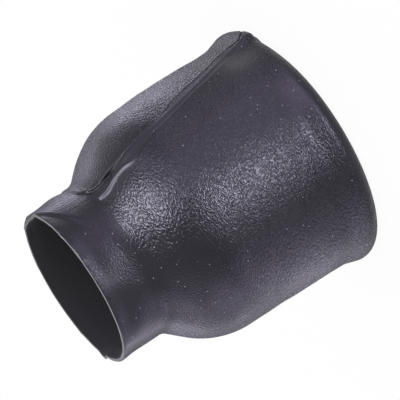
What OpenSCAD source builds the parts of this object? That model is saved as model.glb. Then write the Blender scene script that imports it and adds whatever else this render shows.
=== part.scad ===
// Straight heat shrink boot, as supplied: one moulded elastomer sleeve with a narrow cable neck,
// a rounded shoulder, a wide body and a thick lip at the connector end.
// It stands on the lip's end face, with +Z along its axis towards the neck. Millimetres.

/* [Overall] */
// Length from the lip's end face to the mouth of the neck
total_length = 34.2; // [26:0.2:60]

/* [Neck] */
// Bore of the neck, where the cable passes
neck_bore_d = 19.3; // [13:0.1:22]
// Wall of the neck
neck_wall = 0.5; // [0.4:0.1:1.4]
// Length of the neck from its mouth to the shoulder's corner
neck_length = 6.5; // [3:0.1:14]
// Radius of the corner between the neck and the shoulder
neck_root_r = 0.5; // [0.4:0.1:1]

/* [Shoulder] */
// Slope of the shoulder's flank against the axis, in degrees
shoulder_slope = 42; // [30:1:50]
// Outside radius that rounds the shoulder into the body
shoulder_r = 10.5; // [3:0.5:12]

/* [Body] */
// Inside diameter of the body where the shoulder ends
body_bore_d = 28; // [25:0.1:34]
// Wall of the body and the shoulder
body_wall = 1.1; // [0.8:0.1:2]
// Diameter that the body gains from the shoulder to the lip
body_gain = 0.4; // [0:0.1:2]

/* [Lip] */
// How far the lip stands out of the body's outside
lip_rise = 0.7; // [0.3:0.05:1.5]
// How far the lip stands into the body's inside
lip_step = 1.1; // [0.3:0.05:1.5]
// Height of the lip's widest line above the end face
lip_crest = 1.75; // [1.65:0.05:3]
// Height above the end face where the outside flare meets the body
lip_flare_top = 4; // [3.6:0.1:7]
// Height of the lip's land above the end face, inside
lip_land = 3.4; // [2:0.1:8]
// Radius of the lip's outer edge
lip_edge_r = 1.5; // [0.8:0.1:1.6]
// Radius of the lip's inner edge
lip_entry_r = 0.4; // [0.2:0.1:0.8]
// Radius that blends the flare into the body
flare_r = 5; // [1:0.5:7]

/* [Parting ridge] */
// Width at the lip of the ridge that the mould's parting line leaves
ridge_w = 2.3; // [1:0.1:3]
// Width of the ridge at the neck's root
ridge_neck_w = 1.2; // [0.5:0.1:2]
// Height of the ridge's middle above the wall
ridge_h = 0.35; // [0.15:0.05:0.45]
// How far the ridge's two edges lie below its middle
ridge_crown = 0.06; // [0.02:0.02:0.1]
// Turn of the ridge round the axis from the shoulder to the lip, in degrees
ridge_lean = 23; // [0:1:40]
// Turn of the ridge round the axis from the shoulder to the neck, in degrees
ridge_hook = 6; // [0:1:15]

/* [Hidden] */
$fn = 160;

// Radii of the wall's two sides
neck_bore_r = neck_bore_d / 2;
neck_r = neck_bore_r + neck_wall;
body_bore_r = body_bore_d / 2;
body_r = body_bore_r + body_wall;
body_foot_bore_r = body_bore_r + body_gain / 2;
body_foot_r = body_foot_bore_r + body_wall;
lip_r = body_foot_r + lip_rise;
lip_bore_r = body_foot_bore_r - lip_step;

// Heights where the flank's outside meets the neck and the body, before rounding
neck_root_z = total_length - neck_length;
shoulder_z = neck_root_z - (body_r - neck_r) / tan(shoulder_slope);

// The flank's inside lies one body wall under its outside
flank_inset = body_wall / cos(shoulder_slope);
neck_root_bore_z = neck_root_z - (neck_bore_r - neck_r + flank_inset) / tan(shoulder_slope);
shoulder_bore_z = neck_root_z - (body_bore_r - neck_r + flank_inset) / tan(shoulder_slope);

// The lip's inner step is a 45 degree slope with both its corners eased
step_ease_r = 0.4;
step_top_z = lip_land + lip_step;

// The crest of the lip turns into the flare on a small radius
crest_ease_r = 0.8;

// The ridge bites into the wall, wraps the lip's edge by this turn, and has a section this often
ridge_bite = neck_wall / 2;
ridge_wrap = 50;
ridge_pitch = 0.8;
// Its lean begins gently below the shoulder and its hook sharpens towards the neck
lean_power = 1.35;
hook_power = 2;

// Degrees between neighbouring points of a rounded corner
arc_step = 4;

// Corners of the wall as [radius, height, rounding], outside from the end face up to the mouth
outside_corners = [
    [lip_bore_r + lip_entry_r, 0, 0],
    [lip_r, 0, lip_edge_r],
    [lip_r, lip_crest, crest_ease_r],
    [body_foot_r, lip_flare_top, flare_r],
    [body_r, shoulder_z, shoulder_r],
    [neck_r, neck_root_z, neck_root_r],
    [neck_r, total_length, 0]
];

// Inside from the mouth down to the end face
inside_corners = [
    [neck_bore_r, total_length, 0],
    [neck_bore_r, neck_root_bore_z, neck_root_r],
    [body_bore_r, shoulder_bore_z, shoulder_r - body_wall],
    [body_foot_bore_r, step_top_z, step_ease_r],
    [lip_bore_r, lip_land, step_ease_r],
    [lip_bore_r, 0, lip_entry_r],
    [lip_bore_r + lip_entry_r, 0, 0]
];

function flat(v) = [v[0], v[1]];
function unit(v) = v / norm(v);
function cross_2d(a, b) = a[0] * b[1] - a[1] * b[0];

// Points of the arc that touches both sides of corner b, with neighbours a and c
function round_corner(a, b, c, r) =
    let (
        towards_a = unit(a - b),
        towards_c = unit(c - b),
        half = acos(towards_a * towards_c) / 2,
        centre = b + unit(towards_a + towards_c) * r / sin(half),
        from = b + towards_a * r / tan(half) - centre,
        turn = (180 - 2 * half) * sign(cross_2d(b - a, c - b)),
        steps = max(2, ceil(abs(turn) / arc_step))
    )
    [for (i = [0 : steps])
        let (t = turn * i / steps)
        centre + [from[0] * cos(t) - from[1] * sin(t), from[0] * sin(t) + from[1] * cos(t)]];

// An outline with each corner rounded by its own radius
function rounded(corners) = [
    for (i = [0 : len(corners) - 1])
        let (r = corners[i][2])
        for (p = r == 0
            ? [flat(corners[i])]
            : round_corner(flat(corners[i - 1]), flat(corners[i]), flat(corners[i + 1]), r))
            p
];

// An outline with points added so that none lie further apart than the pitch
function filled(points, pitch) = [
    for (i = [0 : len(points) - 2])
        let (steps = max(1, ceil(norm(points[i + 1] - points[i]) / pitch)))
        for (j = [0 : steps - 1]) points[i] + (points[i + 1] - points[i]) * j / steps
];

outside = rounded(outside_corners);
inside = rounded(inside_corners);

// Angle of the parting ridge round the axis at a height
function ridge_angle(z) = z < shoulder_z
    ? ridge_lean * pow((shoulder_z - z) / shoulder_z, lean_power)
    : ridge_hook * pow((z - shoulder_z) / (neck_root_z - shoulder_z), hook_power);

// The stretch of the outside that carries the ridge, from the lip's edge to the neck's root
ridge_foot_z = lip_edge_r * (1 - sin(ridge_wrap));
ridge_top_z = neck_root_z + neck_root_r;
ridge_line = [for (p = filled(outside, ridge_pitch)) if (p[1] >= ridge_foot_z && p[1] <= ridge_top_z) p];

// Width of the ridge at a height: it narrows evenly from the lip to the neck's root
function ridge_width(z) = ridge_neck_w + (ridge_w - ridge_neck_w) * (neck_root_z - z) / neck_root_z;

// Outward normal of the outside line at point i of the ridge
function ridge_normal(i) =
    let (
        last = len(ridge_line) - 1,
        along = ridge_line[min(i + 1, last)] - ridge_line[max(i - 1, 0)]
    )
    unit([along[1], -along[0]]);

// A point at a radius and height, set aside from the ridge's middle by a distance
function beside(p, aside) =
    let (a = ridge_angle(p[1]))
    [p[0] * cos(a) - aside * sin(a), p[0] * sin(a) + aside * cos(a), p[1]];

// Corners of the ridge's section as [height above the wall, share of the half width]
ridge_section = [
    [-ridge_bite, -1],
    [ridge_h - ridge_crown, -1],
    [ridge_h, 0],
    [ridge_h - ridge_crown, 1],
    [-ridge_bite, 1]
];

// One band along the parting line: the section carried along the outside line
module parting_ridge() {
    count = len(ridge_line);
    n = len(ridge_section);
    corners = [
        for (i = [0 : count - 1])
            let (half_w = ridge_width(ridge_line[i][1]) / 2)
            for (c = ridge_section) beside(ridge_line[i] + ridge_normal(i) * c[0], c[1] * half_w)
    ];
    sides = [
        for (i = [0 : count - 2])
            for (k = [0 : n - 1])
                let (
                    a = n * i + k,
                    b = n * i + (k + 1) % n,
                    c = b + n,
                    d = a + n
                )
                for (f = [[a, c, b], [a, d, c]]) f
    ];
    last = n * (count - 1);
    ends = [
        for (k = [1 : n - 2])
            for (f = [[0, k, k + 1], [last, last + k + 1, last + k]]) f
    ];
    polyhedron(points = corners, faces = concat(sides, ends));
}

// The boot: its wall turned round the axis, with a parting ridge on each side
module boot() {
    color([0.13, 0.13, 0.15])
    union() {
        rotate_extrude() polygon(concat(outside, inside));
        for (side = [0, 180]) rotate([0, 0, side]) parting_ridge();
    }
}

boot();
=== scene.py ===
# %% [markdown]
# # A moulded heat shrink boot
# The object is one elastomer sleeve: a thin neck for the cable, a rounded shoulder, a wide body and a
# thick lip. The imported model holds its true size, so this lesson loads that model as a fixed frame and
# builds the boot's skin around it, with the grain, the parting ridges and the marks of its moulding.

# %% Load the frame
import bpy
import numpy as np
from mathutils import Matrix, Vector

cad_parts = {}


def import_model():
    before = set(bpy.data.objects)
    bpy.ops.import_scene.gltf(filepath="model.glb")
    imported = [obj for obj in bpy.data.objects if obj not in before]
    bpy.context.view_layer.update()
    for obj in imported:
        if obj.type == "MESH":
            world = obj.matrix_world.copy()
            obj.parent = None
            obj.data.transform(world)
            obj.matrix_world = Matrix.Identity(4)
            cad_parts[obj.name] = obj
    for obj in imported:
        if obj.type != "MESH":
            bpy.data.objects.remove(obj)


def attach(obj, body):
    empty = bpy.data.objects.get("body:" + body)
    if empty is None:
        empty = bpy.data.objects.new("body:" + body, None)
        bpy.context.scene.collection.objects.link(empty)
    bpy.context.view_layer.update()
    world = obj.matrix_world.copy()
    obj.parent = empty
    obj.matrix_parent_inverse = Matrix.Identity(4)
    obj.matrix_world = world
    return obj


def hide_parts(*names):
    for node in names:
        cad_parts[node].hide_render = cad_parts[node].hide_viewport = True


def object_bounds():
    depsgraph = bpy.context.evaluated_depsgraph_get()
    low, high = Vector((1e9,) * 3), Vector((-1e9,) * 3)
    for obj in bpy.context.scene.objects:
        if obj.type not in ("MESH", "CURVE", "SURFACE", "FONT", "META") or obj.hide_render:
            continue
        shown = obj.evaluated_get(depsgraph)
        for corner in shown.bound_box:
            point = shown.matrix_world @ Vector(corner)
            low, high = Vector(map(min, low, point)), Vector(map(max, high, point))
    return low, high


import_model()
cad_low, cad_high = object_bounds()
MM = 0.001
print("CAD box in mm:", [round(v / MM, 2) for v in cad_low], [round(v / MM, 2) for v in cad_high])

# %% [markdown]
# ## Camera
# The photograph was taken with a long lens, with the boot's axis leaning out of the picture towards the
# lower left. The boot stands upright here, so the camera takes the lean instead: it looks down at the
# mouth from a little above and is rolled about its own axis. Three angles and a distance say all of that.

# %% Camera
CAMERA_AZIMUTH = -43.0
CAMERA_ELEVATION = 17.62
CAMERA_ROLL = -122.8
CAMERA_DISTANCE = 362.7 * MM
CAMERA_TARGET = np.array([0.888, 0.083, 15.14]) * MM
CAMERA_CLIP = 1 * MM
LENS_MM = 270
SENSOR_MM = 36


def direction(azimuth, elevation):
    """Unit vector at an angle round +Z from +X and an angle above the floor, both in degrees."""
    a, e = np.radians([azimuth, elevation])
    return np.array([np.cos(e) * np.cos(a), np.cos(e) * np.sin(a), np.sin(e)])


def aim(place, backward, roll):
    """Matrix whose +Z is the backward direction, with +Y as near to up as it can be, then rolled."""
    back = backward / np.linalg.norm(backward)
    side = np.cross([0, 0, 1], back)
    side /= np.linalg.norm(side)
    over = np.cross(back, side)
    c, s = np.cos(np.radians(roll)), np.sin(np.radians(roll))
    axes = np.stack([c * side + s * over, c * over - s * side, back], axis=1)
    matrix = np.eye(4)
    matrix[:3, :3] = axes
    matrix[:3, 3] = place
    return Matrix(matrix.tolist())


camera_data = bpy.data.cameras.new("camera")
camera_data.lens = LENS_MM
camera_data.sensor_width = SENSOR_MM
camera_data.clip_start = CAMERA_CLIP
camera = bpy.data.objects.new("camera", camera_data)
bpy.context.scene.collection.objects.link(camera)
camera_back = direction(CAMERA_AZIMUTH, CAMERA_ELEVATION)
camera.matrix_world = aim(CAMERA_TARGET + camera_back * CAMERA_DISTANCE, camera_back, CAMERA_ROLL)
bpy.context.scene.camera = camera
print("camera at", [round(v / MM, 1) for v in camera.location])

# %% [markdown]
# ## Floor and surroundings
# The boot was shot on pure white. More lamp light would whiten a floor too, but it would wash out the
# object as well. So the world shines evenly in white, with a strength of 1, at which a colour renders
# about as it is written, and the floor has a switch, the Light Path node. The camera and reflections see
# the floor nearly white. All other light meets a pale matt sheet, and a faint shadow of the boot is left.

# %% Floor and world
FLOOR_SIZE = 4.0
FLOOR_COLOUR = (0.95, 0.95, 0.95, 1)
FLOOR_WHITE_SHARE = 0.94
WHITE = (1, 1, 1, 1)
WORLD_STRENGTH = 1.0


def seen_directly(nodes, links):
    """Socket that is 1 for camera, glossy and transmission rays, and 0 for light that bounces."""
    path = nodes.new("ShaderNodeLightPath")
    either = nodes.new("ShaderNodeMath")
    either.operation = "MAXIMUM"
    links.new(path.outputs["Is Camera Ray"], either.inputs[0])
    links.new(path.outputs["Is Glossy Ray"], either.inputs[1])
    every = nodes.new("ShaderNodeMath")
    every.operation = "MAXIMUM"
    links.new(either.outputs[0], every.inputs[0])
    links.new(path.outputs["Is Transmission Ray"], every.inputs[1])
    return every.outputs[0]


def pale_floor_material():
    """Pale diffuse floor, mixed with plain white where it is seen directly."""
    material = bpy.data.materials.new("pale_floor")
    material.use_nodes = True
    nodes, links = material.node_tree.nodes, material.node_tree.links
    nodes.clear()
    output = nodes.new("ShaderNodeOutputMaterial")
    mix = nodes.new("ShaderNodeMixShader")
    diffuse = nodes.new("ShaderNodeBsdfDiffuse")
    diffuse.inputs["Color"].default_value = FLOOR_COLOUR
    white = nodes.new("ShaderNodeEmission")
    white.inputs["Color"].default_value = WHITE
    share = nodes.new("ShaderNodeMath")
    share.operation = "MULTIPLY"
    share.inputs[1].default_value = FLOOR_WHITE_SHARE
    links.new(seen_directly(nodes, links), share.inputs[0])
    links.new(share.outputs[0], mix.inputs["Fac"])
    links.new(diffuse.outputs[0], mix.inputs[1])
    links.new(white.outputs[0], mix.inputs[2])
    links.new(mix.outputs[0], output.inputs["Surface"])
    return material


floor_mesh = bpy.data.meshes.new("floor")
floor_signs = ((-1, -1), (1, -1), (1, 1), (-1, 1))
floor_corners = [(x * FLOOR_SIZE / 2, y * FLOOR_SIZE / 2, 0) for x, y in floor_signs]
floor_mesh.from_pydata(floor_corners, [], [(0, 1, 2, 3)])
floor_mesh.materials.append(pale_floor_material())
floor = bpy.data.objects.new("floor", floor_mesh)
bpy.context.scene.collection.objects.link(floor)

world = bpy.data.worlds.new("studio")
world.use_nodes = True
bpy.context.scene.world = world
background = world.node_tree.nodes["Background"]
background.inputs["Color"].default_value = WHITE
background.inputs["Strength"].default_value = WORLD_STRENGTH
bpy.context.scene.view_settings.view_transform = "Standard"
print("floor of", FLOOR_SIZE, "m, world of strength", WORLD_STRENGTH)

# %% [markdown]
# ## Light for a dark gloss
# A near black skin gives back hardly any light by its colour, so what shows its form is the gloss. Under
# the world's even light alone the boot is darker and looks flat. The lamps here are for gloss alone: the
# camera and diffuse light don't see them. Each lies where its place on the boot mirrors the camera's line.
# The upright wall mirrors the floor, so most of them are panels that lie there, and the shoulder mirrors
# softboxes above. Two or three large softboxes would be simpler, but each would light the whole boot at
# once, and the dark valleys between the bright places would go.

# %% Lamp helpers
KEY_CAST = (0.96, 0.98, 1.0)
FILL_CAST = (0.80, 0.74, 1.0)
LIGHT_TARGET = np.array([0, 0, 17]) * MM
PANEL_TILT = 8
PANEL_LIFT = 0.5 * MM


def gloss_lamp(name, cast, width, length, radiance, matrix):
    """Rectangular light that shows in gloss alone. Its power is radiance times pi times its area."""
    data = bpy.data.lights.new(name, "AREA")
    data.shape = "RECTANGLE"
    data.size = width
    data.size_y = length
    data.energy = radiance * np.pi * width * length
    data.color = cast
    light = bpy.data.objects.new(name, data)
    bpy.context.scene.collection.objects.link(light)
    light.matrix_world = matrix
    light.visible_camera = False
    light.visible_diffuse = False
    print(f"{name}: {data.energy:.3f} W")


def softbox(name, cast, azimuth, elevation, size, radiance, distance=0.45):
    """Light that faces the boot, at two angles in degrees and a distance in metres from its middle."""
    back = direction(azimuth, elevation)
    matrix = aim(LIGHT_TARGET + back * distance, back, 0)
    gloss_lamp(name, cast, size[0], size[1], radiance, matrix)


def floor_panel(name, cast, azimuth, near, far, width, radiance):
    """Light that lies on the floor, from near to far of the axis in metres, with its far edge raised."""
    length = far - near
    height = PANEL_LIFT + length / 2 * np.sin(np.radians(PANEL_TILT))
    middle = direction(azimuth, 0) * (near + far) / 2 + np.array([0, 0, height])
    matrix = aim(middle, direction(azimuth, PANEL_TILT - 90), 0)
    gloss_lamp(name, cast, width, length, radiance, matrix)


print("panels tilt by", PANEL_TILT, "degrees")

# %% Nearly white lamps: the shoulder's bright spot, the body's stripe and the neck's highlight
softbox("shoulder_softbox", KEY_CAST, azimuth=7, elevation=57, size=(0.10, 0.10), radiance=56, distance=0.4)
softbox("shoulder_front", KEY_CAST, azimuth=-10, elevation=48, size=(0.10, 0.20), radiance=42, distance=0.4)
floor_panel("stripe_panel", KEY_CAST, azimuth=-52, near=0.036, far=0.055, width=0.014, radiance=23)
floor_panel("stripe_lip_panel", KEY_CAST, azimuth=-40, near=0.040, far=0.052, width=0.013, radiance=56)
floor_panel("stripe_side_panel", KEY_CAST, azimuth=-65, near=0.034, far=0.055, width=0.016, radiance=4)
floor_panel("neck_front_panel", KEY_CAST, azimuth=-56, near=0.088, far=0.115, width=0.040, radiance=12)

# %% Violet lamps: the broad sheen of the body, the flank, the belly, the lip and the far side
floor_panel("body_panel", FILL_CAST, azimuth=-16, near=0.030, far=0.085, width=0.062, radiance=3.2)
softbox("body_softbox", FILL_CAST, azimuth=-3, elevation=13, size=(0.30, 0.20), radiance=5)
floor_panel("edge_panel", FILL_CAST, azimuth=60, near=0.035, far=0.085, width=0.045, radiance=1.2)
floor_panel("neck_panel", FILL_CAST, azimuth=85, near=0.088, far=0.122, width=0.050, radiance=4.5)
floor_panel("flank_panel", FILL_CAST, azimuth=92, near=0.035, far=0.075, width=0.050, radiance=2.2)
softbox("flank_softbox", FILL_CAST, azimuth=105, elevation=14, size=(0.20, 0.20), radiance=2.4)
floor_panel("belly_panel", FILL_CAST, azimuth=-117, near=0.030, far=0.075, width=0.042, radiance=2.6)
floor_panel("lip_panel", FILL_CAST, azimuth=-148, near=0.026, far=0.036, width=0.030, radiance=2)
softbox("belly_softbox", FILL_CAST, azimuth=-137, elevation=12, size=(0.22, 0.20), radiance=4.8)
floor_panel("lip_front_panel", FILL_CAST, azimuth=-24, near=0.0175, far=0.027, width=0.036, radiance=2.4)
floor_panel("back_panel", FILL_CAST, azimuth=-163, near=0.075, far=0.140, width=0.060, radiance=2.4)
softbox("back_softbox", FILL_CAST, azimuth=-165, elevation=42, size=(0.20, 0.20), radiance=3.8)
softbox("rear_softbox", FILL_CAST, azimuth=165, elevation=12, size=(0.20, 0.20), radiance=2.8)

# %% [markdown]
# ## The wall's outline
# The boot is turned about its axis, so one closed outline gives its wall: up the outside from the lip to
# the mouth, over the rim, and down the inside. A few corners with a rounding each say the whole shape.
# Working the arcs out with numpy gives any density of rows, where a bevel would need many edges.

# %% Corners of the outline
BOX_CLEARANCE = 0.01
LENGTH = (cad_high[2] - cad_low[2]) / MM
LIP_R = cad_high[1] / MM - BOX_CLEARANCE
LIP_EDGE_ROUND = 1.5
LIP_CREST_Z = 1.75
LIP_CREST_ROUND = 0.8
LIP_BORE_R = 13.1
LIP_LAND = 3.4
LIP_INNER_ROUND = 0.4
FLARE_TOP_Z = 4.0
FLARE_ROUND = 5.0
BODY_R = 15.1
BODY_FOOT_R = 15.3
BODY_WALL = 1.1
SHOULDER_SLOPE = np.radians(42)
SHOULDER_ROUND = 10.5
NECK_R = 10.15
NECK_BORE_R = 9.65
NECK_LENGTH = 6.5
NECK_ROOT_ROUND = 0.5
RIM_OUTER_ROUND = 0.14
RIM_INNER_ROUND = 0.08

NECK_ROOT_Z = LENGTH - NECK_LENGTH
SHOULDER_Z = NECK_ROOT_Z - (BODY_R - NECK_R) / np.tan(SHOULDER_SLOPE)
flank_inset = BODY_WALL / np.cos(SHOULDER_SLOPE)
body_bore_r = BODY_R - BODY_WALL
neck_root_bore_z = NECK_ROOT_Z - (NECK_BORE_R - NECK_R + flank_inset) / np.tan(SHOULDER_SLOPE)
shoulder_bore_z = NECK_ROOT_Z - (body_bore_r - NECK_R + flank_inset) / np.tan(SHOULDER_SLOPE)
body_foot_bore_r = BODY_FOOT_R - BODY_WALL
step_top_z = LIP_LAND + body_foot_bore_r - LIP_BORE_R

# Each corner: radius, height, rounding, and how far apart rows lie there and on the stretch after it
CORNERS = {
    "lip_edge": (LIP_R, 0, LIP_EDGE_ROUND, 0.2, 0.2),
    "lip_crest": (LIP_R, LIP_CREST_Z, LIP_CREST_ROUND, 0.2, 0.22),
    "body_foot": (BODY_FOOT_R, FLARE_TOP_Z, FLARE_ROUND, 0.24, 0.26),
    "shoulder": (BODY_R, SHOULDER_Z, SHOULDER_ROUND, 0.22, 0.2),
    "neck_root": (NECK_R, NECK_ROOT_Z, NECK_ROOT_ROUND, 0.08, 0.22),
    "rim_outer": (NECK_R, LENGTH, RIM_OUTER_ROUND, 0.05, 0.07),
    "rim_inner": (NECK_BORE_R, LENGTH, RIM_INNER_ROUND, 0.04, 0.5),
    "neck_root_bore": (NECK_BORE_R, neck_root_bore_z, NECK_ROOT_ROUND, 0.2, 0.6),
    "shoulder_bore": (body_bore_r, shoulder_bore_z, SHOULDER_ROUND - BODY_WALL, 0.8, 1.2),
    "step_top": (body_foot_bore_r, step_top_z, LIP_INNER_ROUND, 0.2, 0.3),
    "step_foot": (LIP_BORE_R, LIP_LAND, LIP_INNER_ROUND, 0.2, 0.5),
    "lip_entry": (LIP_BORE_R, 0, LIP_INNER_ROUND, 0.15, 0.3),
}
print("outline of", len(CORNERS), "corners, shoulder at", round(SHOULDER_Z, 2), "mm")

# %% Round the corners
ARC_POINTS = 96
LOOP_SAMPLES = 8001


def rounded_loop(corners, rounding):
    """Closed line whose corners are arcs: each centre lies on the corner's bisector, at the rounding
    divided by the sine of half the corner's angle, and each arc runs from side to side about it."""
    towards_last = np.roll(corners, 1, axis=0) - corners
    towards_next = np.roll(corners, -1, axis=0) - corners
    towards_last /= np.linalg.norm(towards_last, axis=1, keepdims=True)
    towards_next /= np.linalg.norm(towards_next, axis=1, keepdims=True)
    half_angle = np.arccos((towards_last * towards_next).sum(1)) / 2
    bisector = towards_last + towards_next
    bisector /= np.linalg.norm(bisector, axis=1, keepdims=True)
    centre = corners + bisector * (rounding / np.sin(half_angle))[:, None]
    start = corners + towards_last * (rounding / np.tan(half_angle))[:, None] - centre
    turn_sign = np.sign(np.cross(-towards_last, towards_next))
    turn = np.linspace(0, 1, ARC_POINTS) * ((np.pi - 2 * half_angle) * turn_sign)[:, None]
    x = start[:, :1] * np.cos(turn) - start[:, 1:] * np.sin(turn)
    y = start[:, :1] * np.sin(turn) + start[:, 1:] * np.cos(turn)
    return (centre[:, None, :] + np.stack([x, y], axis=2)).reshape(-1, 2)


corner_table = np.array(list(CORNERS.values()))
loop = rounded_loop(corner_table[:, :2], corner_table[:, 2])
loop_closed = np.vstack([loop, loop[:1]])
loop_length = np.r_[0, np.cumsum(np.linalg.norm(np.diff(loop_closed, axis=0), axis=1))]
along = np.linspace(0, loop_length[-1], LOOP_SAMPLES)
fine = np.stack([np.interp(along, loop_length, loop_closed[:, k]) for k in (0, 1)], axis=1)
print("loop of", round(loop_length[-1], 1), "mm")

# %% [markdown]
# ## Rows along the outline
# A fine rim needs rows a twentieth of a millimetre apart, the hidden inside hardly any. Each corner and
# stretch has its wanted spacing, and the running sum of one over the spacing counts the rows. Equal steps
# of that count put the rows where they are needed, with no jump between dense and loose.

# %% Place the rows
corner_at = loop_length[ARC_POINTS // 2 :: ARC_POINTS][: len(CORNERS)]
corner_s = dict(zip(CORNERS, corner_at))
stretch_at = (corner_at + np.r_[corner_at[1:], loop_length[-1] + corner_at[0]]) / 2
knots = np.stack([corner_at, stretch_at], axis=1).ravel()
spacing = np.interp(along, knots, corner_table[:, 3:].ravel(), period=loop_length[-1])
running = np.r_[0, np.cumsum(np.diff(along) / spacing[:-1])]
row_count = int(round(running[-1]))
row_along = np.interp(np.arange(row_count) / row_count * running[-1], running, along)
row_r = np.interp(row_along, along, fine[:, 0])
row_z = np.interp(row_along, along, fine[:, 1])
tangent = np.gradient(fine, axis=0)
tangent[0] = tangent[-1] = fine[1] - fine[-2]
tangent /= np.linalg.norm(tangent, axis=1, keepdims=True)
normal_r = np.interp(row_along, along, tangent[:, 1])
normal_z = np.interp(row_along, along, -tangent[:, 0])
on_outside = (row_along < corner_s["rim_outer"]).astype(float)[:, None]
print(row_count, "rows")

# %% [markdown]
# ## The parting ridges
# The mould's two halves leave a smooth band down each side of the boot. Stretching the boot turned the
# bands a little round the axis, so they lean. The columns of the grid follow that lean, and they crowd
# together at the bands, so that a thin edge there is cut by many columns and stays crisp.

# %% Columns that follow the ridges
RIDGE_LEAN = 23
RIDGE_LEAN_POWER = 1.35
RIDGE_HOOK = 6
RIDGE_HOOK_POWER = 2
RIDGE_WIDTH_LIP = 2.3
RIDGE_WIDTH_NECK = 1.2
COLUMN_WIDE = 0.42
COLUMN_FINE = 0.065
COLUMN_CROWD = 2.0
COLUMN_CROWD_POWER = 6
TURN_SAMPLES = 20001


def ridge_angle(z):
    """Turn of the ridge in radians: it grows as a power of the height below the shoulder's end, and as
    a square of the height above it, up to the neck's root."""
    below_end = np.clip((SHOULDER_Z - z) / SHOULDER_Z, 0, 1)
    above_end = np.clip((z - SHOULDER_Z) / (NECK_ROOT_Z - SHOULDER_Z), 0, 1)
    return np.radians(RIDGE_LEAN * below_end**RIDGE_LEAN_POWER + RIDGE_HOOK * above_end**RIDGE_HOOK_POWER)


def ridge_width(z):
    """Width of the ridge in mm: it narrows evenly from the lip to the neck's root."""
    share = np.clip(z / NECK_ROOT_Z, 0, 1)
    return RIDGE_WIDTH_LIP + (RIDGE_WIDTH_NECK - RIDGE_WIDTH_LIP) * share


turn_fine = np.linspace(-np.pi, np.pi, TURN_SAMPLES)
from_ridge = BODY_R * np.minimum(np.abs(turn_fine), np.pi - np.abs(turn_fine))
crowded = np.exp(-((from_ridge / COLUMN_CROWD) ** COLUMN_CROWD_POWER))
column_gap = COLUMN_WIDE + (COLUMN_FINE - COLUMN_WIDE) * crowded
column_run = np.r_[0, np.cumsum(np.diff(turn_fine) * BODY_R / column_gap[:-1])]
column_count = int(round(column_run[-1]))
column_turn = np.interp(np.arange(column_count) / column_count * column_run[-1], column_run, turn_fine)

turn_grid = np.broadcast_to(column_turn, (row_count, column_count))
z_grid = np.broadcast_to(row_z[:, None], turn_grid.shape)
angle_grid = turn_grid + ridge_angle(z_grid)
degrees = np.degrees(np.mod(angle_grid + np.pi, 2 * np.pi) - np.pi)
print(column_count, "columns,", 2 * column_count * row_count, "triangles")

# %% [markdown]
# ## Soft building blocks
# Every mark on a moulded skin fades in and out. Three curves are enough for all of them: a smooth step, a
# bell, and a fall that dies away. Sculpting would do as well, but a sum of such curves can be read, and
# changed, number by number. The short names below say where on the boot a mark lies: round the axis in
# degrees, and along it in millimetres.

# %% Curves
def step(x):
    """Smooth step from 0 to 1 as x goes from 0 to 1: three x squared less two x cubed."""
    x = np.clip(x, 0, 1)
    return x * x * (3 - 2 * x)


def bell(x):
    """Bell curve of height 1 and half width about 1: e to the power of minus x squared."""
    return np.exp(-x * x)


def falling(x, reach):
    """1 at and below zero, then dying away over the reach: e to the power of minus x by reach."""
    return np.exp(-np.clip(x, 0, None) / reach)


def bells(x, table):
    """Sum of bell curves, each given as its place, its half width and its height."""
    return sum(height * bell((x - place) / half_width) for place, half_width, height in table)


def rises(x, table):
    """Sum of smooth steps, each given as its start, its length and its height."""
    return sum(height * step((x - start) / length) for start, length, height in table)


def ripples(angle, z, table):
    """Sum of sine waves, each given as waves round the axis, rate along it, phase and height."""
    return sum(height * np.sin(turns * angle + rate * z + phase) for turns, rate, phase, height in table)


print("a bell falls to", round(float(bell(1.0)), 2), "at its half width")

# %% Places on the boot
def about(turn, half):
    """Bell curve round the axis, about a turn in degrees."""
    return bell((degrees - turn) / half)


def past(turn, rise):
    """Smooth rise round the axis, from a turn in degrees on."""
    return step((degrees - turn) / rise)


def before(turn, fall):
    """Smooth fall round the axis, which ends at a turn in degrees."""
    return step((turn - degrees) / fall)


def level(height, half):
    """Bell curve along the axis, about a height in mm."""
    return bell((z_grid - height) / half)


def above(height, rise):
    """Smooth rise along the axis, from a height in mm on."""
    return step((z_grid - height) / rise)


def below(height, fall):
    """Smooth fall along the axis, which ends at a height in mm."""
    return step((height - z_grid) / fall)


print("turns from", round(degrees.min()), "to", round(degrees.max()), "degrees")

# %% [markdown]
# ## Edges of the band
# The smooth band along a ridge doesn't run straight: its edges wander, draw in on the shoulder and above
# the lip, and spread at both ends. Near the neck a thin fin stands beside it and swings across. Each line
# is a distance from the ridge's middle as a function of the height, so a few bells and steps draw it.

# %% Lines along the ridge
# Bells: height, half width and distance. Steps: start, length and distance. All in mm
LEFT_BELLS = ((12.8, 2, 0.2), (17.2, 2.4, -0.28), (8.7, 2, -0.1), (0.6, 0.5, 0.8), (2.1, 1.3, -1.2))
LEFT_RISES = ((24, 2, 0.06), (26.8, 1.3, 0.45))
LEFT_RIPPLES = ((0, 2.3, 0, 0.035), (0, 5.1, 1, 0.02))
RIGHT_BELLS = ((22, 1.6, 0.45), (12, 2.4, -0.22))
RIGHT_RISES = ((23.6, 1.2, 0.1),)
FIN_LINE_START = -1.2
FIN_LINE_RISES = ((22.2, 2.3, 0.6), (24.8, 1.8, -0.4), (27.3, 0.9, 0.35))


def left_edge(z):
    """Distance to the band's left edge: half the ridge's width, with bells, steps and ripples added."""
    wander = bells(z, LEFT_BELLS) + rises(z, LEFT_RISES) + ripples(0, z, LEFT_RIPPLES)
    return ridge_width(z) / 2 + wander


def right_edge(z):
    """Distance to the band's right edge: half the ridge's width, let out below the fin."""
    return ridge_width(z) / 2 + bells(z, RIGHT_BELLS) + rises(z, RIGHT_RISES)


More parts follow.
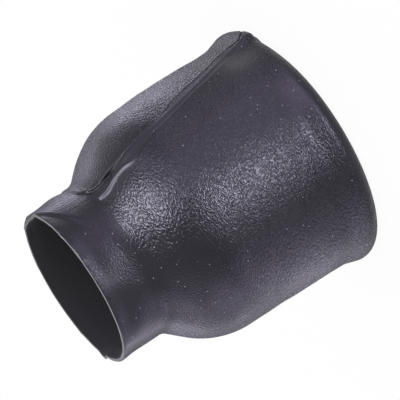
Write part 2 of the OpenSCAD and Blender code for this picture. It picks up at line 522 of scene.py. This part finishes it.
def fin_line(z):
    """Distance to the fin's crest, less than zero on the right: it swings in, out, and in again."""
    return FIN_LINE_START + rises(z, FIN_LINE_RISES)


print("band", round(float(left_edge(10.0) + right_edge(10.0)), 2), "mm wide at mid body")

# %% [markdown]
# ## Relief of the ridges
# Seen close, each ridge is a low swelling with a smooth band along its top. On one side of the band the
# grained skin stops at a fine groove, on the other side only a seam parts it from the band. On the
# shoulder the skin beside the groove is dented, and the groove becomes a thin edge. Towards the neck the
# band sinks into a gap with a small hollow, between that edge and a rounded fin, and at the lip it ends
# in a nub with a notch beside it. All of it is a few tenths of a millimetre high.

# %% Sizes of the relief
SWELL_H = 0.24
SWELL_REACH_LEFT = 1.7
SWELL_REACH_RIGHT = 1.5
SWELL_SINK = 0.5
DENT_DEPTH = 0.4
DENT_REACH = 1.8
DENT_Z = 20.4
DENT_HALF = 2.8
DENT_SOFT = 0.08
GROOVE_DEPTH = 0.26
GROOVE_HALF = 0.065
NOTCH_DEPTH = 0.3
NOTCH_HALF = 0.16
NOTCH_TOP_Z = 3.0
NOTCH_FADE = 1.2
SEAM_DEPTH = 0.04
SEAM_HALF = 0.07
SEAM_BEAD_H = 0.03
SEAM_BEAD_INSET = 0.16
SEAM_BEAD_HALF = 0.12
KEEL_H = 0.05
KEEL_HALF = 0.28
KEEL_ASIDE = 0.1
KEEL_FROM_Z = 3.0
KEEL_RISE = 3.0
BAND_SOFT_LEFT = 0.09
BAND_SOFT_RIGHT = 0.3
BAND_STREAK_H = 0.006
BAND_STREAK_RATE = 22
BAND_STREAK_SWAY = 1.5
BAND_STREAK_SWAY_RATE = 0.5
print("swelling", SWELL_H, "mm high, groove", GROOVE_DEPTH, "mm deep")

# %% Sizes of the relief at the ridge's ends
EDGE_H = 0.1
EDGE_HALF = 0.1
EDGE_ASIDE = 0.07
EDGE_FROM_Z = 16.5
EDGE_RISE = 2.0
EDGE_GAP_DEPTH = 0.05
GAP_DEPTH = 0.05
GAP_FROM_Z = 22.3
GAP_RISE = 2.2
GAP_SOFT = 0.16
HOLLOW_DEPTH = 0.3
HOLLOW_Z = 25.6
HOLLOW_ASIDE = 0.5
HOLLOW_HALF = 0.5
FIN_H = 0.17
FIN_HALF_LEFT = 0.17
FIN_HALF_RIGHT = 0.26
FIN_FROM_Z = 21.5
FIN_RISES = ((FIN_FROM_Z, 3.5, 1.0), (25, 3, 0.5))
FIN_END_Z = NECK_ROOT_Z + 0.6
FIN_END_FADE = 1.4
NUB_H = 0.14
NUB_HALF = 1.1
NUB_ASIDE = -0.45
NUB_Z = 0.9
NUB_TALL = 1.3
RIDGE_FOOT_Z = 0.35
RIDGE_FOOT_FADE = 0.6
RIDGE_TOP_Z = NECK_ROOT_Z + 0.75
RIDGE_TOP_FADE = 0.5
print("fin", FIN_H, "mm high, nub", NUB_H, "mm high")

# %% Relief of one ridge
def ridge_relief(across, z):
    """Height in mm of one ridge over the wall, from the distance across it and the height above the
    floor: swelling, dent, groove, notch, seam, gap, hollow, streaks, keel, edge, fin and nub are added
    up, and the sum fades out at the ridge's two ends."""
    past_left = across - left_edge(z)
    past_right = -across - right_edge(z)
    to_edge = step((z - EDGE_FROM_Z) / EDGE_RISE)
    to_gap = step((z - GAP_FROM_Z) / GAP_RISE)
    between = step(-past_left / BAND_SOFT_LEFT) * step(-past_right / BAND_SOFT_RIGHT)

    swelling = SWELL_H * falling(past_left, SWELL_REACH_LEFT) * falling(past_right, SWELL_REACH_RIGHT)
    swelling = swelling * (1 - SWELL_SINK * to_gap)
    dented = step(past_left / DENT_SOFT) * bell((z - DENT_Z) / DENT_HALF)
    swelling = swelling * (1 - dented) - DENT_DEPTH * dented * falling(past_left, DENT_REACH)

    groove = -GROOVE_DEPTH * (1 - to_edge) * bell(past_left / GROOVE_HALF)
    notch = -NOTCH_DEPTH * bell(past_left / NOTCH_HALF) * step((NOTCH_TOP_Z - z) / NOTCH_FADE)
    bead = SEAM_BEAD_H * bell((past_right + SEAM_BEAD_INSET) / SEAM_BEAD_HALF)
    seam = (bead - SEAM_DEPTH * bell(past_right / SEAM_HALF)) * (1 - to_gap)
    keel = KEEL_H * (1 - to_gap) * step((z - KEEL_FROM_Z) / KEEL_RISE)
    keel = keel * bell((across - KEEL_ASIDE) / KEEL_HALF)
    sway = BAND_STREAK_SWAY * np.sin(BAND_STREAK_SWAY_RATE * z)
    streaks = BAND_STREAK_H * between * np.sin(BAND_STREAK_RATE * across + sway)

    edge = EDGE_H * to_edge * bell((past_left - EDGE_ASIDE) / EDGE_HALF)
    hollow = HOLLOW_DEPTH * bell((z - HOLLOW_Z) / HOLLOW_HALF) * bell((across - HOLLOW_ASIDE) / HOLLOW_HALF)
    sunk = EDGE_GAP_DEPTH * to_edge + GAP_DEPTH * to_gap + hollow
    gap = -sunk * step(-past_left / GAP_SOFT) * step(-past_right / BAND_SOFT_RIGHT)
    from_fin = across - fin_line(z)
    fin = FIN_H * rises(z, FIN_RISES) * step((FIN_END_Z - z) / FIN_END_FADE)
    fin = fin * bell(from_fin / np.where(from_fin > 0, FIN_HALF_LEFT, FIN_HALF_RIGHT))
    nub = NUB_H * bell(((across - NUB_ASIDE) / NUB_HALF) ** 2) * bell(((z - NUB_Z) / NUB_TALL) ** 2)

    ends = step((z - RIDGE_FOOT_Z) / RIDGE_FOOT_FADE) * step((RIDGE_TOP_Z - z) / RIDGE_TOP_FADE)
    return (swelling + groove + notch + seam + keel + streaks + edge + gap + fin + nub) * ends


across_front = row_r[:, None] * turn_grid
across_back = row_r[:, None] * (np.mod(turn_grid, 2 * np.pi) - np.pi)
relief = on_outside * (ridge_relief(across_front, z_grid) + ridge_relief(across_back, z_grid))
print("ridge relief from", round(relief.min(), 2), "to", round(relief.max(), 2), "mm")

# %% [markdown]
# ## Soft irregularities
# A stretched elastomer sleeve is never a perfect turning. Long shallow waves of a few hundredths of a
# millimetre are enough to bend the highlights. At the neck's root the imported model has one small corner,
# but the soft wall runs out of the shoulder in a fillet whose radius changes round the axis, and on one
# side of the ridge the shoulder hangs over the neck in a thin edge. The fillet is worked out as an arc
# that touches the neck and the flank, from the distance along the outline to the corner.

# %% Waves
WAVES = ((2, 0.14, 0.6, 0.03), (3, -0.21, 2.1, 0.03), (5, 0.37, 4.0, 0.021))
MOTTLE = ((9, 0.9, 0, 0.012), (14, -1.1, 1, 0.012), (6, 1.7, 2, 0.012))
waves = ripples(angle_grid, z_grid, WAVES + MOTTLE) * above(2, rise=4)
print("waves from", round(waves.min(), 3), "to", round(waves.max(), 3), "mm")

# %% Fillet and thin edge at the neck's root
FILLET_R = 2.6
FILLET_BELLS = ((-30, 45, 3.0), (45, 35, 1.4))
FILLET_EASE = 0.22
OVERHANG_H = 0.15
OVERHANG_AHEAD = 0.04
OVERHANG_RISE = 0.16
OVERHANG_FLAT = 0.3
OVERHANG_REACH = 0.8
OVERHANG_FROM = 8
EDGE_SHIFT = 1.2
UNDERCUT_DEPTH = 0.05
UNDERCUT_AHEAD = 0.06
UNDERCUT_HALF = 0.14

before_root = corner_s["neck_root"] - row_along[:, None]
fillet_r = FILLET_R + bells(degrees, FILLET_BELLS)
fillet_reach = fillet_r * np.tan(SHOULDER_SLOPE / 2)
into_fillet = np.clip(fillet_reach - np.sqrt(before_root**2 + FILLET_EASE**2), 0, None)
soft_fill = fillet_r - np.sqrt(fillet_r**2 - into_fillet**2)

hanging = past(OVERHANG_FROM, rise=5) * before(102, fall=40)
past_edge = before_root + EDGE_SHIFT * past(OVERHANG_FROM, rise=13)
overhang = OVERHANG_H * step((past_edge + OVERHANG_AHEAD) / OVERHANG_RISE)
overhang = overhang * falling(past_edge - OVERHANG_FLAT, OVERHANG_REACH)
overhang = overhang - UNDERCUT_DEPTH * bell((past_edge + UNDERCUT_AHEAD) / UNDERCUT_HALF)
relief = relief + (waves + overhang * hanging + soft_fill) * on_outside
print("relief from", round(relief.min(), 2), "to", round(relief.max(), 2), "mm")

# %% [markdown]
# ## The soft neck
# The neck's thin wall has been handled: one side bulges, a fold runs from the mouth across it, the mouth
# flares a little, and one corner of it is blunt. Such a push moves the outside and the inside of the wall
# together, so it is a change of radius that fades out below the neck's root. The mouth's cut edge has a
# few burrs.

# %% Pushes on the neck
BULGE_H = 0.24
PINCH_H = 0.08
FOLD_H = 0.2
FOLD_REACH = 1.6
FOLD_FALL = 0.8
FOLD_MOUTH_TURN = 31
FOLD_DROP = 0.087
FLARE_H = 0.1
FLARE_EXTRA = 0.8
BLUNT_H = 0.34
BLUNT_REACH = 1.2
BLUNT_OUTSIDE = 0.5

on_neck = above(NECK_ROOT_Z - 0.6, rise=2.2)
bulge = BULGE_H * about(51, half=32) * level(30.8, half=1.7)
pinch = -PINCH_H * about(37, half=16) * above(31.6, rise=2.4)
fold_z = LENGTH - FOLD_DROP * (FOLD_MOUTH_TURN - degrees)
past_fold = z_grid - fold_z
fold = FOLD_H * falling(-past_fold, FOLD_REACH) * (1 - step(past_fold / FOLD_FALL))
fold = fold * past(-16, rise=18) * before(FOLD_MOUTH_TURN + 8, fall=8)
flare = FLARE_H * above(32.4, rise=1.8) * (1 + FLARE_EXTRA * about(-155, half=24))
blunt = -BLUNT_H * about(50, half=18) * np.exp(-(LENGTH - z_grid) / BLUNT_REACH)
blunt = blunt * (1 - BLUNT_OUTSIDE * on_outside)
push = on_neck * (bulge + pinch + fold + flare + blunt)
print("neck pushed from", round(push.min(), 2), "to", round(push.max(), 2), "mm")

# %% Burrs on the rim
# Each burr: turn in degrees and height in mm. One less than zero is a nick
BURRS = {
    72: 0.2, 66: 0.12, 109: 0.13, 167: 0.16, -167: 0.5,
    -163: 0.5, -6: -0.16, -31: 0.1, 35: 0.12, 131: 0.08,
}
BURR_HALF = 2.6
BURR_REACH = 0.45
RIM_RIPPLE_H = 0.03
RIM_WAVES = 23
RIM_BEATS = 7
RIM_BEAT_PHASE = 1
at_mouth = np.exp(-(LENGTH - z_grid) / BURR_REACH) * (row_along < corner_s["neck_root_bore"])[:, None]
burrs = sum(height * about(turn, half=BURR_HALF) for turn, height in BURRS.items())
rim_ripple = np.sin(RIM_WAVES * angle_grid) * np.sin(RIM_BEATS * angle_grid + RIM_BEAT_PHASE)
push = push + at_mouth * (burrs + RIM_RIPPLE_H * rim_ripple)
print(len(BURRS), "burrs on the rim")

# %% [markdown]
# ## The lip's sway
# The lip is not quite round either. It dips beside each ridge's end and stands out a little on the other
# side, and the flank above it bulges slightly. These too move both sides of the wall.

# %% Sway of the lip
SWAY_H = 0.08
SWAY_DIP = 0.47
DIP_EDGE = 18.5
DIP_FADE = 4
DIP_FROM = 9
DIP_REACH = 22
OVAL_H = 0.11
FLANK_H = 0.24


def lip_dip(turned):
    """1 beside the ridge's end, in degrees from it: a step stops it short at the nub, and a bell lets
    it fade out slowly away from there."""
    return step((DIP_EDGE - turned) / DIP_FADE) * bell(np.minimum(turned - DIP_FROM, 0) / DIP_REACH)


back_degrees = np.mod(degrees, 360) - 180
sway = SWAY_H * about(42, half=15) - SWAY_DIP * (lip_dip(degrees) + lip_dip(back_degrees))
oval = OVAL_H * np.sin(2 * angle_grid)
flank = FLANK_H * about(47, half=22) * level(12, half=5)
push = push + sway * (1 - above(1.5, rise=5)) + oval + flank
print("lip sways from", -SWAY_DIP, "to", SWAY_H, "mm")

# %% [markdown]
# ## The skin as one mesh
# The grid closes on itself both ways, along the outline and round the axis, so the wall is one shell
# without a seam or a pole. The relief moves each point along the outline's normal, and the pushes move
# it away from the axis.

# %% Build the mesh
def closed_grid(name, points):
    """Mesh from a grid of points that wraps in both directions. Quad i, j joins the points at i, j,
    at i, j + 1, at i + 1, j + 1 and at i + 1, j, each counted round."""
    rows, columns = points.shape[:2]
    index = np.arange(rows * columns).reshape(rows, columns)
    right = np.roll(index, -1, axis=1)
    quads = np.stack([index, right, np.roll(right, -1, axis=0), np.roll(index, -1, axis=0)], axis=2)
    mesh = bpy.data.meshes.new(name)
    mesh.from_pydata(points.reshape(-1, 3).tolist(), [], quads.reshape(-1, 4).tolist())
    mesh.polygons.foreach_set("use_smooth", np.ones(len(mesh.polygons), dtype=bool))
    mesh.update()
    return mesh


skin_r = row_r[:, None] + normal_r[:, None] * relief + push
skin_z = z_grid + normal_z[:, None] * relief
skin_points = np.stack([skin_r * np.cos(angle_grid), skin_r * np.sin(angle_grid), skin_z], axis=2) * MM
boot_mesh = closed_grid("boot_skin", skin_points)
boot = bpy.data.objects.new("boot_skin", boot_mesh)
bpy.context.scene.collection.objects.link(boot)
print("boot_skin has", len(boot_mesh.polygons), "faces")

# %% [markdown]
# ## Where each finish shows
# Grain, smooth band, pale places, cut rim and matt inside lie on different parts of the same skin. The
# grain is strongest on the body, coarse on the front of the shoulder too, and calm on the lip's flare and
# on a pale patch beside the ridge. The lip's lowest edge is painted pale, a painted light that lifts the
# floor's shadow there. The cut rim is pale as a cut face, with a painted highlight that is brighter on the
# side towards the camera and darker at the blunt corner. The inside is painted lighter than the skin, a
# painted light for the little light that reaches it. Each finish is a number on every point of the mesh,
# which the material reads by name. Separate materials on separate faces would leave hard borders, where
# these fade into each other.

# %% Grain
CALM_LOSS = 0.75
FLARE_CALM = 0.9
FIRM_GAIN = 0.3
BODY_GAIN = 0.7
MOUND_GAIN = 0.5
NECK_SMOOTH_RISES = ((-0.1, 0.2, 0.3), (0.3, 0.5, 0.4))
BAND_MARGIN_LEFT = 0.06
BAND_MARGIN_RIGHT = 0.1
BAND_FADE = 0.2
FIN_MARGIN = 1.9


def paint(name, values):
    """Store one number per point of the boot's grid under a name."""
    whole = np.broadcast_to(values, turn_grid.shape)
    attribute = boot_mesh.attributes.new(name, "FLOAT", "POINT")
    attribute.data.foreach_set("value", np.ascontiguousarray(whole, dtype=np.float32).ravel())


def band_share(across):
    """1 between a band's two edges, fading out beyond them, and reaching past the fin near the neck."""
    to_fin = above(FIN_FROM_Z, rise=2)
    to_left = left_edge(z_grid) + BAND_MARGIN_LEFT - across
    past_fin = FIN_MARGIN - fin_line(z_grid) - right_edge(z_grid)
    to_right = right_edge(z_grid) + BAND_MARGIN_RIGHT + to_fin * past_fin + across
    return step(to_left / BAND_FADE) * step(to_right / (BAND_FADE + FIN_MARGIN * to_fin))


on_band = np.maximum(band_share(across_front), band_share(across_back))
on_band = on_band * below(NECK_ROOT_Z + 0.4, fall=0.4)
up_neck = (z_grid - NECK_ROOT_Z) / NECK_LENGTH
pale_patch = about(8.5, half=6) * level(4.4, half=2.3) * on_outside
flare_calm = about(-34, half=32) * (1 - above(2.5, rise=4.5))
calm = np.maximum(pale_patch, FLARE_CALM * flare_calm)
firm_side = past(2, rise=12) * before(120, fall=40)
on_body = 1 - above(18, rise=5)
on_mound = about(-32, half=34) * below(NECK_ROOT_Z + 1, fall=2)
grain = on_outside * (1 - on_band) * (1 - rises(up_neck, NECK_SMOOTH_RISES))
grain = grain * (1 - CALM_LOSS * calm) * (1 + FIRM_GAIN * firm_side)
grain = grain * (1 + BODY_GAIN * on_body + MOUND_GAIN * on_mound * (1 - on_body))
paint("grain", grain)
paint("coarse", np.maximum(on_body, on_mound))
paint("body", on_body)
paint("band", on_band * on_outside)
print("mean grain", round(float(grain.mean()), 2))

# %% Painted light on the lip's edge, streaks, rim with painted highlight, and inside
LIP_EDGE_LIGHT = 0.4
CUT_HALF = 0.24
CUT_FADE = 0.12
# The cut rim: pale as a cut face, plus a painted highlight on the side towards the camera
RIM_PALE_AND_HIGHLIGHT = 0.6
RIM_HIGHLIGHT_NEAR = 0.4
RIM_TONE_MOTTLE = 0.12
RIM_DARKER_BLUNT = 0.5
RIM_TONE_WAVES = 17
RIM_TONE_BEATS = 5
STREAK_START = 0.2
STREAK_END_FADE = 0.8
# Painted light: the lip's lowest edge is painted pale, to lift the floor's shadow there
lip_edge_light = LIP_EDGE_LIGHT * (1 - above(0.7, rise=1.3)) * on_outside
streak = on_outside * step(up_neck / STREAK_START) * step((fold_z - z_grid) / STREAK_END_FADE)
streak = streak * past(-20, rise=20) * before(75, fall=20)
on_inside = (row_along > corner_s["rim_inner"]) & (row_along < corner_s["lip_entry"])
rim_middle = (corner_s["rim_outer"] + corner_s["rim_inner"]) / 2
cut_rim = step((CUT_HALF - np.abs(row_along - rim_middle)) / CUT_FADE)[:, None]
rim_mottle = np.sin(RIM_TONE_WAVES * angle_grid) * np.sin(RIM_TONE_BEATS * angle_grid)
# Painted highlight: the rim is brighter on the side towards the camera and darker at the blunt corner
rim_pale_and_highlight = RIM_PALE_AND_HIGHLIGHT + RIM_HIGHLIGHT_NEAR * about(-40, half=70) + RIM_TONE_MOTTLE * rim_mottle
rim_pale_and_highlight = rim_pale_and_highlight * (1 - RIM_DARKER_BLUNT * about(50, half=22))
# One attribute holds the pale patch beside the ridge and the painted light on the lip's lowest edge
paint("pale_patch", np.maximum(pale_patch, lip_edge_light))
paint("streak", streak)
paint("dust", on_outside)
paint("inside", on_inside[:, None])
paint("cut_rim", cut_rim * np.clip(rim_pale_and_highlight, 0, 1))
print(int(on_inside.sum()), "rows inside,", int((cut_rim > 0).sum()), "rows on the rim")

# %% [markdown]
# ## Black elastomer
# The compound is near black with a faint violet cast, faded here and there in soft clouds. The mould's
# eroded face gave it a pebbled grain, drawn out round the axis when the boot was expanded, so the grain is
# a noise whose coordinates are packed more tightly along the axis than across it. It comes in two sizes, a
# coarse one for the body and the front of the shoulder and a fine one for the rest. The pebbles have broad
# tops and narrow pits, so a steep ramp of the noise is added to the noise itself. All this is bump: the
# pebbles are too small and too many for the mesh. A low roughness makes each glint by itself. Seen at a
# grazing angle the skin turns matt, or its outline would show a pale haze. The neck has fine streaks along
# it, and a few specks of dust lie all over.
# The pits are painted darker than the tops, a painted shade in the hollows.

# %% Values of the grain and the marks, with sizes in mm
GRAIN_FINE = (0.25, 0.17)
GRAIN_COARSE = (0.35, 0.185)
GRAIN_DEPTH = 0.08
GRAIN_DETAIL = 1.0
PIT_LOW = 0.36
PIT_HIGH = 0.48
PIT_SHARE = 0.1
PEBBLE_SHARE = 0.72
CLOUD_SIZE = 6.0
CLOUD_LOW = 0.35
CLOUD_HIGH = 0.65
STREAK_ROUND = 0.3
STREAK_ALONG = 4.0
STREAK_SHARE = 0.7
DUST_CELL = 1.0
DUST_RADIUS = 0.074
DUST_CORE = 0.5
print("grain of", GRAIN_FINE, "and", GRAIN_COARSE, "mm,", GRAIN_DEPTH, "mm deep")

# %% Colours and gloss
BLACK = (0.0140, 0.0132, 0.0170, 1)
# Painted shade: the grain's pits are painted darker than the tops
PIT_SHADE_BLACK = (0.008, 0.0076, 0.0095, 1)
BLACK_FADED = (0.0210, 0.0197, 0.0252, 1)
# Painted light: the inside is painted lighter than the skin, for the little light that reaches it
BLACK_INSIDE_LIT = (0.026, 0.026, 0.0275, 1)
# Grey of the pale patch, also the painted light on the lip's lowest edge
PALE_PATCH_GREY = (0.06, 0.0585, 0.064, 1)
# Grey of the cut face, lightened further as a painted highlight
CUT_GREY_AND_HIGHLIGHT = (0.25, 0.245, 0.262, 1)
DUST_GREY = (0.5, 0.49, 0.52, 1)
ROUGHNESS_SKIN = 0.29
ROUGHNESS_BODY = 0.24
ROUGHNESS_GRAZING = 0.95
GRAZING_FROM = 0.58
ROUGHNESS_PIT = 0.38
ROUGHNESS_BAND = 0.42
ROUGHNESS_INSIDE = 0.95
ROUGHNESS_CUT = 0.45
ROUGHNESS_DUST = 1.0
SPECULAR = 0.2
SPECULAR_TINT = (0.86, 0.81, 1.0, 1)
SHEEN = 0.05
SHEEN_ROUGHNESS = 0.3
SHEEN_TINT = (0.9, 0.88, 1.0, 1)
print("roughness", ROUGHNESS_BODY, "on the body to", ROUGHNESS_INSIDE, "inside")


# %% Node helpers
class Wiring:
    """Short ways to add nodes to a material and to link them."""

    def __init__(self, material):
        self.nodes = material.node_tree.nodes
        self.links = material.node_tree.links
        self.place = self.nodes.new("ShaderNodeTexCoord").outputs["Object"]

    def put(self, value, socket):
        """Link a socket to a socket, or write a plain value into it."""
        if isinstance(value, bpy.types.NodeSocket):
            self.links.new(value, socket)
        else:
            socket.default_value = value

    def cells(self, kind, across_mm, along_mm):
        """Texture on Object coordinates, counted in cells of this size across the axis and along it."""
        mapping = self.nodes.new("ShaderNodeMapping")
        mapping.inputs["Scale"].default_value = [1 / (v * MM) for v in (across_mm, across_mm, along_mm)]
        self.links.new(self.place, mapping.inputs["Vector"])
        texture = self.nodes.new(kind)
        texture.inputs["Scale"].default_value = 1
        self.links.new(mapping.outputs[0], texture.inputs["Vector"])
        return texture

    def painted(self, name):
        """One of the numbers painted on the mesh."""
        node = self.nodes.new("ShaderNodeAttribute")
        node.attribute_name = name
        return node.outputs["Fac"]

    def math(self, operation, first, second):
        """Result of one operation on two values, such as their sum, difference or product."""
        node = self.nodes.new("ShaderNodeMath")
        node.operation = operation
        self.put(first, node.inputs[0])
        self.put(second, node.inputs[1])
        return node.outputs[0]

    def between(self, value, from_low, from_high, low, high):
        """Low to high as the value goes from one end of its range to the other."""
        node = self.nodes.new("ShaderNodeMapRange")
        self.links.new(value, node.inputs["Value"])
        node.inputs["From Min"].default_value = from_low
        node.inputs["From Max"].default_value = from_high
        self.put(low, node.inputs["To Min"])
        self.put(high, node.inputs["To Max"])
        return node.outputs["Result"]

    def blend(self, share, first, second):
        """Colour that goes from the first to the second with the share."""
        node = self.nodes.new("ShaderNodeMix")
        node.data_type = "RGBA"
        self.links.new(share, node.inputs["Factor"])
        colour_a, colour_b = [s for s in node.inputs if s.type == "RGBA"]
        self.put(first, colour_a)
        self.put(second, colour_b)
        return [s for s in node.outputs if s.type == "RGBA"][0]


print("node helpers ready")


# %% Material
def black_elastomer():
    """Principled surface. The colour goes from black through faded clouds, the painted shade of the pits
    and the pale patch, which also holds the lip edge's painted light, to the inside painted lighter, the
    cut rim with its painted highlight and the dust. The roughness follows the same places. The bump is the
    sum of the round pebbles, their steep sides and the neck's streaks, each times its painted share."""
    material = bpy.data.materials.new("black_elastomer")
    material.use_nodes = True
    wires = Wiring(material)
    shader = wires.nodes["Principled BSDF"]
    shader.inputs["Specular IOR Level"].default_value = SPECULAR
    shader.inputs["Specular Tint"].default_value = SPECULAR_TINT
    shader.inputs["Sheen Weight"].default_value = SHEEN
    shader.inputs["Sheen Roughness"].default_value = SHEEN_ROUGHNESS
    shader.inputs["Sheen Tint"].default_value = SHEEN_TINT

    small = wires.cells("ShaderNodeTexNoise", *GRAIN_FINE)
    large = wires.cells("ShaderNodeTexNoise", *GRAIN_COARSE)
    small.inputs["Detail"].default_value = GRAIN_DETAIL
    large.inputs["Detail"].default_value = GRAIN_DETAIL
    pebbles = wires.between(wires.painted("coarse"), 0, 1, small.outputs["Fac"], large.outputs["Fac"])
    grain_share = wires.painted("grain")
    tops = wires.between(pebbles, PIT_LOW, PIT_HIGH, 0.0, 1.0)
    pits = wires.math("MULTIPLY", wires.math("SUBTRACT", 1.0, tops), grain_share)

    clouds = wires.cells("ShaderNodeTexNoise", CLOUD_SIZE, CLOUD_SIZE)
    faded = wires.between(clouds.outputs["Fac"], CLOUD_LOW, CLOUD_HIGH, 0.0, 1.0)
    specks = wires.cells("ShaderNodeTexVoronoi", DUST_CELL, DUST_CELL)
    speck_r = DUST_RADIUS / DUST_CELL
    dusty = wires.between(specks.outputs["Distance"], DUST_CORE * speck_r, speck_r, 1.0, 0.0)
    dusty = wires.math("MULTIPLY", dusty, wires.painted("dust"))
    inside, rim = wires.painted("inside"), wires.painted("cut_rim")
    colour = wires.blend(faded, BLACK, BLACK_FADED)
    # Painted shade in the grain's pits
    colour = wires.blend(pits, colour, PIT_SHADE_BLACK)
    # Pale patch, and painted light on the lip's lowest edge
    colour = wires.blend(wires.painted("pale_patch"), colour, PALE_PATCH_GREY)
    # Inside painted lighter, as painted light
    colour = wires.blend(inside, colour, BLACK_INSIDE_LIT)
    # Cut rim, partly a cut face and partly a painted highlight
    colour = wires.blend(rim, colour, CUT_GREY_AND_HIGHLIGHT)
    wires.put(wires.blend(dusty, colour, DUST_GREY), shader.inputs["Base Color"])

    turned = wires.nodes.new("ShaderNodeLayerWeight")
    skin = wires.between(wires.painted("body"), 0, 1, ROUGHNESS_SKIN, ROUGHNESS_BODY)
    roughness = wires.between(turned.outputs["Facing"], GRAZING_FROM, 1, skin, ROUGHNESS_GRAZING)
    roughness = wires.between(pits, 0, 1, roughness, ROUGHNESS_PIT)
    roughness = wires.between(wires.painted("band"), 0, 1, roughness, ROUGHNESS_BAND)
    roughness = wires.between(inside, 0, 1, roughness, ROUGHNESS_INSIDE)
    roughness = wires.between(rim, 0, 1, roughness, ROUGHNESS_CUT)
    wires.put(wires.between(dusty, 0, 1, roughness, ROUGHNESS_DUST), shader.inputs["Roughness"])

    round_tops = wires.math("MULTIPLY", pebbles, PEBBLE_SHARE)
    height = wires.math("ADD", round_tops, wires.math("MULTIPLY", tops, PIT_SHARE))
    height = wires.math("MULTIPLY", height, grain_share)
    lines = wires.cells("ShaderNodeTexNoise", STREAK_ROUND, STREAK_ALONG)
    line_share = wires.math("MULTIPLY", wires.painted("streak"), STREAK_SHARE)
    height = wires.math("ADD", height, wires.math("MULTIPLY", lines.outputs["Fac"], line_share))
    bump = wires.nodes.new("ShaderNodeBump")
    bump.inputs["Distance"].default_value = GRAIN_DEPTH * MM
    wires.put(height, bump.inputs["Height"])
    wires.put(bump.outputs[0], shader.inputs["Normal"])
    return material


boot_mesh.materials.append(black_elastomer())
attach(boot, "root")
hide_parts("boot")
print("material with", len(boot_mesh.materials[0].node_tree.nodes), "nodes")
